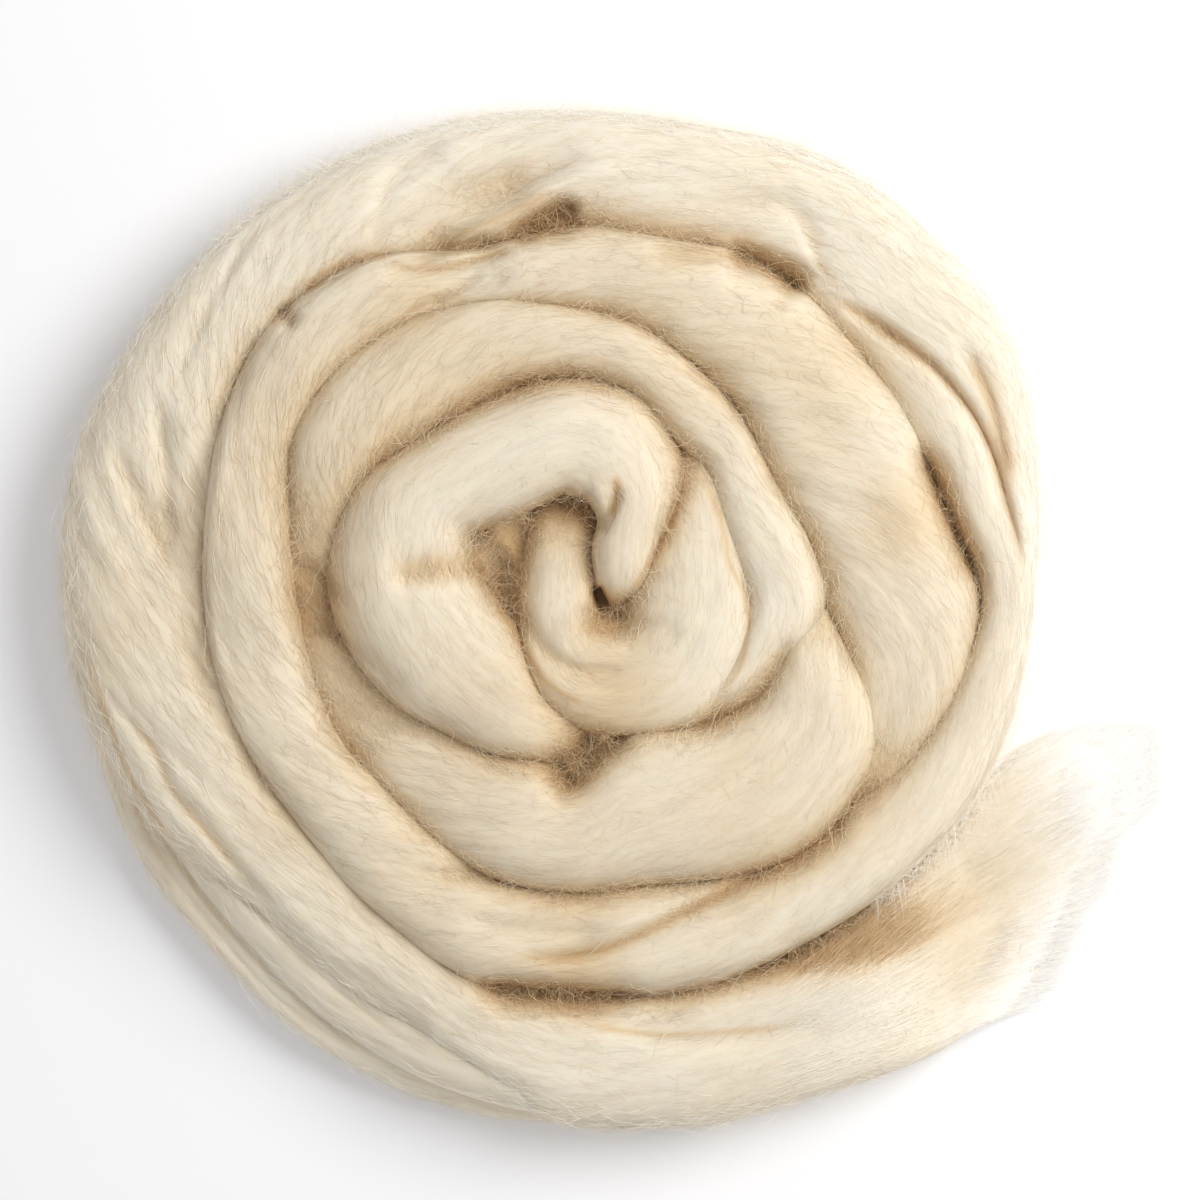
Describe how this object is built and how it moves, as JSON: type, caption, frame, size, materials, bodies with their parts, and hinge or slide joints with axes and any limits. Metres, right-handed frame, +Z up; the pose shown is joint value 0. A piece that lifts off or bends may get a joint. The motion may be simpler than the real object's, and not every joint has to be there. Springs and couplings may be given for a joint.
{
  "type": "wool roving",
  "caption": "Soft cream strand of combed wool wound flat into a spiral coil, its inner end doubled into the eye and its outer end left loose and fanned out.",
  "frame": {"origin": "middle of the bounding box's underside, on the surface that the coil lies on", "axes": "+Z up from the surface it lies on; +X towards the side where the loose end fans out; the coil's middle is 11 mm to -X and 4 mm to +Y of the origin, and seen from above the strand winds outwards counter-clockwise"},
  "size_m": [0.3521, 0.3258, 0.0518],
  "materials": {
    "combed_wool": "soft, matte, fibrous, with a faint sheen along the fibres"
  },
  "bodies": {
    "root": {"roving_coil": "combed_wool", "loose_end": "combed_wool"}
  },
  "joints": []
}
